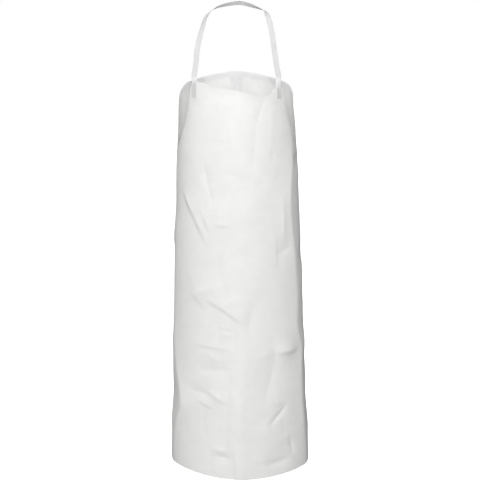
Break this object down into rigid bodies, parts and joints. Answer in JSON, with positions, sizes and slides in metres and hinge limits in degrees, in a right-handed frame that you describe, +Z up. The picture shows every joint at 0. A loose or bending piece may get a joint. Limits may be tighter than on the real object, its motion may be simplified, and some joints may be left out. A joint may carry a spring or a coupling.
{
  "type": "butcher apron",
  "caption": "Long white wrap-around butcher's apron of coated film, with a bib, a neck loop of flat tape, and two back panels that open at the sides.",
  "frame": {"origin": "middle of the neck loop's inner face, where the loop rests on the back of the neck", "axes": "+Z up, -Y is the front of the apron, and -X is the side named left, as seen from the front"},
  "size_m": [0.3956, 0.2761, 1.3363],
  "materials": {
    "film": "satin",
    "hem_film": "satin",
    "patch_film": "satin",
    "strap_tape": "woven",
    "thread": "matte"
  },
  "bodies": {
    "front": {"front_panel": "film", "bib_top_hem": "hem_film", "front_bottom_hem": "hem_film", "left_armhole_hem": "hem_film", "left_side_seam": "patch_film", "left_strap_patch": "patch_film", "left_strap_end": "strap_tape", "left_strap_bartack": "thread", "right_armhole_hem": "hem_film", "right_side_seam": "patch_film", "right_strap_patch": "patch_film", "right_strap_end": "strap_tape", "right_strap_bartack": "thread"},
    "neck_loop": {"neck_strap": "strap_tape"},
    "left_wing": {"left_back_panel": "film", "left_back_top_hem": "hem_film", "left_back_armhole_hem": "hem_film", "left_back_edge_facing": "hem_film", "left_back_bottom_hem": "hem_film", "left_tie_patch": "patch_film"},
    "right_wing": {"right_back_panel": "film", "right_back_top_hem": "hem_film", "right_back_armhole_hem": "hem_film", "right_back_edge_facing": "hem_film", "right_back_bottom_hem": "hem_film", "right_tie_patch": "patch_film"}
  },
  "joints": [
    {"name": "neck_loop_fold", "type": "hinge", "parent": "front", "child": "neck_loop", "pos_m": [0, -0.0807, -0.2058], "axis": [1, 0, 0], "range_deg": [-50, 150]},
    {"name": "left_wing_open", "type": "hinge", "parent": "front", "child": "left_wing", "pos_m": [-0.174, 0, -0.231], "axis": [0.0222, 0, 0.9998], "range_deg": [0, 100]},
    {"name": "right_wing_open", "type": "hinge", "parent": "front", "child": "right_wing", "pos_m": [0.154, 0, -0.231], "axis": [0.0408, 0, -0.9992], "range_deg": [0, 100]}
  ]
}
